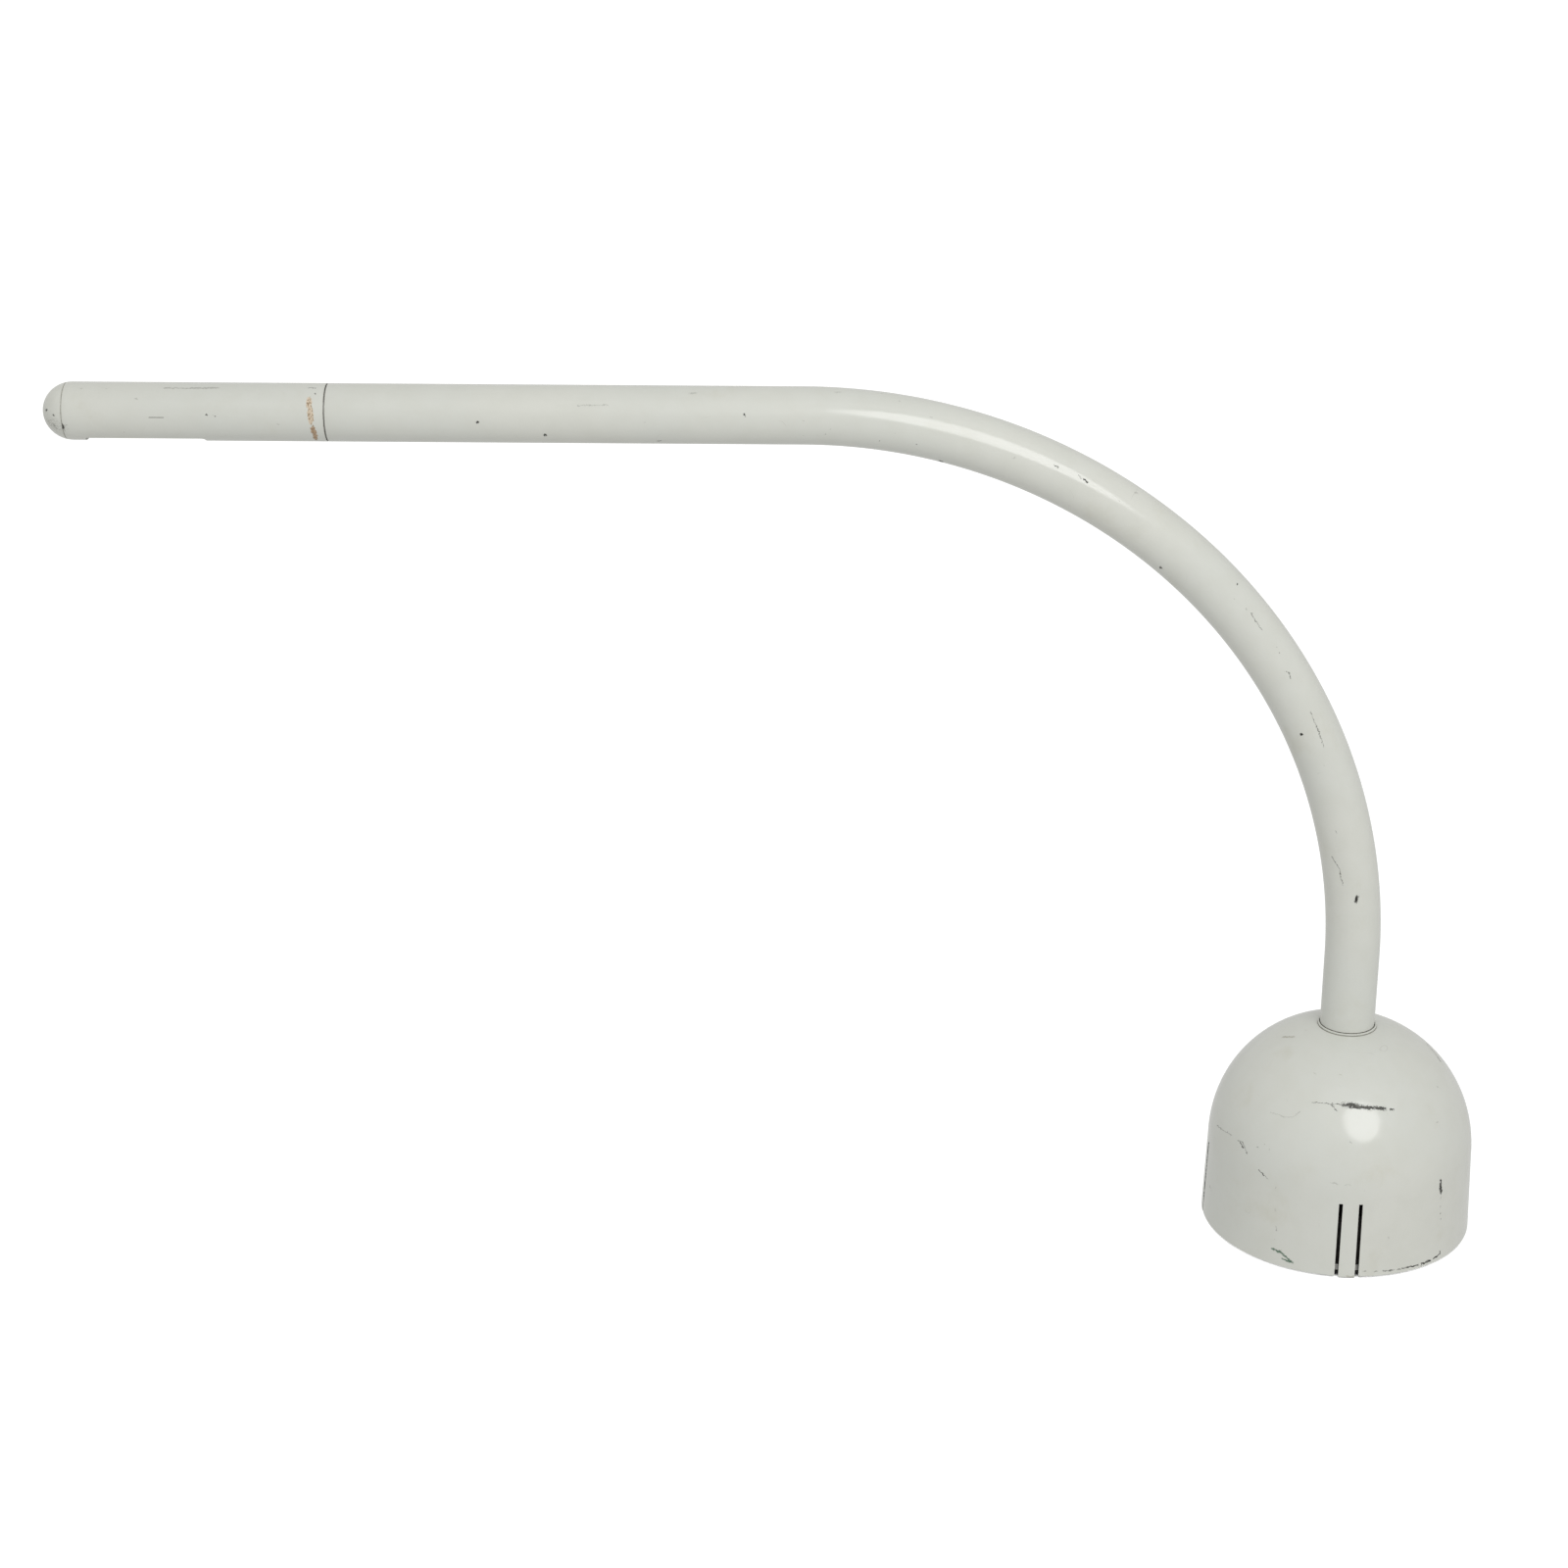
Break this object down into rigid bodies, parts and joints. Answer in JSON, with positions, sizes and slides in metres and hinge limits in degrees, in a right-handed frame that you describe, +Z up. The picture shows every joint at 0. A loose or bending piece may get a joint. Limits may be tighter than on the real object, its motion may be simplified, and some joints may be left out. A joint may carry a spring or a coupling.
{
  "type": "arc floor lamp",
  "caption": "Arc floor lamp: a bent steel tube arm swivels on a weighted dome base and ends in a turning tubular lamp head with a light slot underneath.",
  "frame": {"origin": "on the floor, at the centre of the base and on the arm's swivel axis, at the underside of the felt pad", "axes": "+Z up along the arm's upright end; the arm reaches out along -X at rest; the head's light slot faces down (-Z)"},
  "size_m": [1.5398, 0.3011, 0.954],
  "materials": {
    "enamel": "gloss",
    "steel": "satin",
    "zinc": "satin",
    "iron": "matte",
    "felt": "matte",
    "rubber": "matte",
    "nylon": "satin",
    "bakelite": "satin",
    "porcelain": "gloss",
    "brass": "satin",
    "aluminium": "polished",
    "glass": "gloss",
    "tungsten": "satin",
    "sheath": "matte",
    "live": "satin",
    "neutral": "satin"
  },
  "bodies": {
    "base": {"base_shell": "enamel", "neck_ring": "enamel", "base_plate": "steel", "ballast_weight": "iron", "felt_pad": "felt", "stem_spigot": "steel", "spigot_stop_key": "steel", "cable_grommet": "rubber", "terminal_block": "nylon", "base_lead": "sheath", "ballast_screw_1": "zinc", "ballast_screw_2": "zinc", "ballast_screw_3": "zinc", "ballast_screw_4": "zinc", "flange_screw_1": "zinc", "flange_screw_2": "zinc", "flange_screw_3": "zinc", "flange_screw_4": "zinc", "terminal_screw_1": "brass", "terminal_screw_2": "brass", "terminal_screw_3": "brass"},
    "arm": {"arm_tube": "enamel", "lower_bush": "nylon", "upper_bush": "nylon", "arm_stop_screw": "zinc", "arm_lead": "sheath", "head_coupler": "steel", "coupler_screw_1": "zinc", "coupler_screw_2": "zinc", "coupler_stop_key": "steel", "friction_ring": "rubber", "coupler_cable_guide": "nylon"},
    "head": {"bulb_cap": "brass", "bulb_contact": "brass", "bulb_glass": "glass", "bulb_insulator": "bakelite", "bulb_stem": "glass", "carrier_screw": "zinc", "filament": "tungsten", "head_lead": "sheath", "head_retaining_screw": "zinc", "head_tube": "enamel", "lampholder_body": "bakelite", "lampholder_carrier": "zinc", "lampholder_contact": "brass", "lampholder_insert": "porcelain", "lampholder_shell": "brass", "lead_core_live": "live", "lead_core_neutral": "neutral", "nipple": "zinc", "nipple_nut": "zinc", "reflector": "aluminium"},
    "end_cap": {"end_cap": "enamel", "cap_o_ring": "rubber"}
  },
  "joints": [
    {"name": "arm_swivel", "type": "hinge", "parent": "base", "child": "arm", "pos_m": [0, 0, 0.18], "axis": [0, 0, 1], "range_deg": [-165, 165]},
    {"name": "head_swivel", "type": "hinge", "parent": "arm", "child": "head", "pos_m": [-1.096, 0, 0.924], "axis": [1, 0, 0], "range_deg": [-165, 165]},
    {"name": "end_cap_pull", "type": "slide", "parent": "head", "child": "end_cap", "axis": [-1, 0, 0], "range_m": [0, 0.04]}
  ]
}
